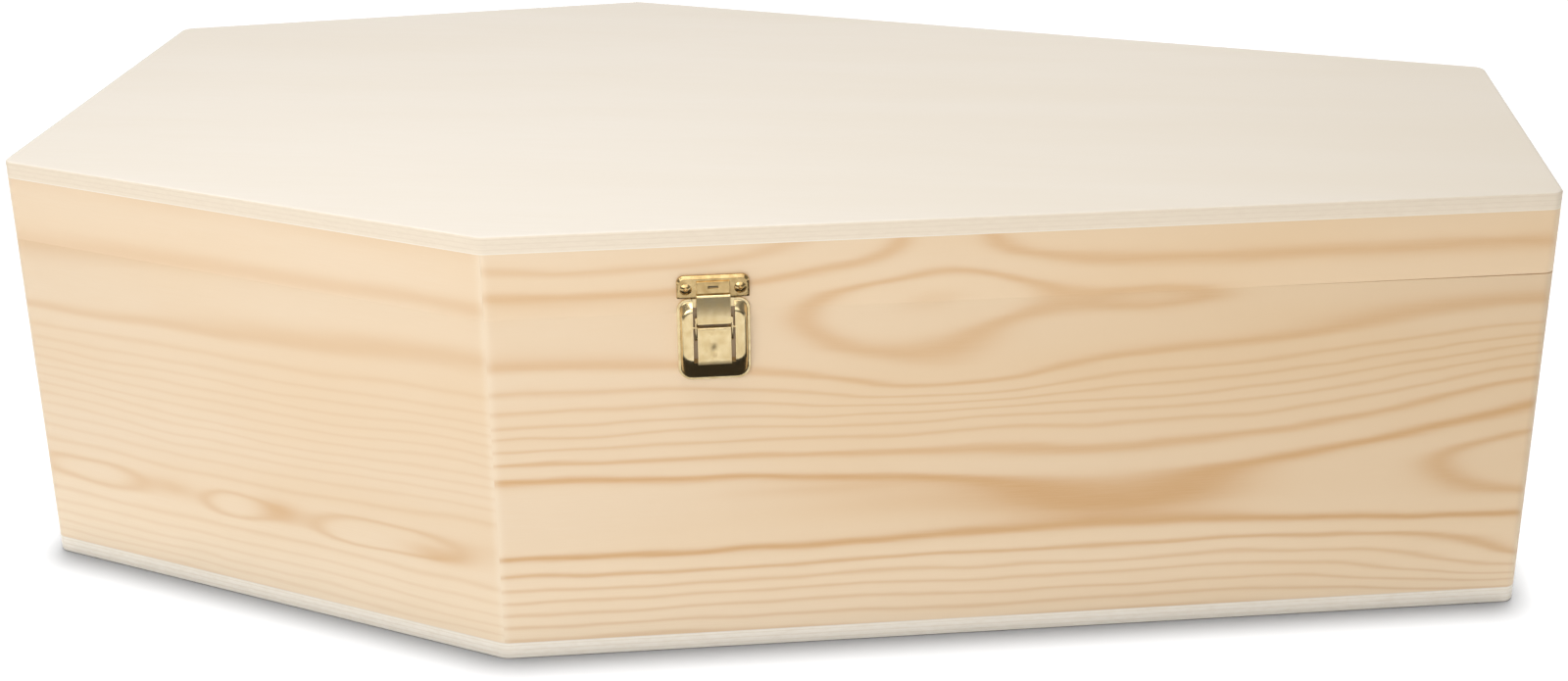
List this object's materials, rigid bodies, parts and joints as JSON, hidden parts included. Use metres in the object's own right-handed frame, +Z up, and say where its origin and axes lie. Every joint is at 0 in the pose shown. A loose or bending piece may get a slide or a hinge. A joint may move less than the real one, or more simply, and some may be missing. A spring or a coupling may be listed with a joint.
{
  "type": "wooden coffin",
  "caption": "Small six-sided coffin box of pale pine with a plywood top and bottom, a lift-off lid and a brass toggle latch on the long front wall.",
  "frame": {"origin": "middle of the underside, where the coffin stands", "axes": "+X from the head end to the foot end, +Z up, -Y the front with the latch"},
  "size_m": [0.7, 0.3764, 0.203],
  "materials": {
    "pine": "planed and sanded, unfinished",
    "plywood": "sanded, unfinished",
    "brass": "bright plated"
  },
  "bodies": {
    "coffin": {"bottom_panel": "plywood", "front_shoulder_board": "pine", "front_long_board": "pine", "foot_board": "pine", "back_long_board": "pine", "back_shoulder_board": "pine", "head_board": "pine", "lid_panel": "plywood", "front_shoulder_rail": "pine", "front_long_rail": "pine", "foot_rail": "pine", "back_long_rail": "pine", "back_shoulder_rail": "pine", "head_rail": "pine", "latch_frame": "brass", "latch_pivot_pin": "brass", "latch_keeper": "brass", "keeper_screw_left": "brass", "keeper_screw_right": "brass"},
    "lever": {"latch_lever": "brass", "latch_link_pin": "brass"},
    "link": {"latch_link": "brass"}
  },
  "joints": [
    {"name": "lever_pivot", "type": "hinge", "parent": "coffin", "child": "lever", "pos_m": [-0.01161, -0.17082, 0.1583], "axis": [-0.9793, -0.2025, 0], "range_deg": [0, 90]},
    {"name": "link_pivot", "type": "hinge", "parent": "lever", "child": "link", "pos_m": [-0.01171, -0.17033, 0.1533], "axis": [-0.9793, -0.2025, 0], "range_deg": [-103.5, 0]}
  ],
  "couplings": [
    {"joint": "link_pivot", "follows": "lever_pivot", "ratio": -1.15}
  ]
}
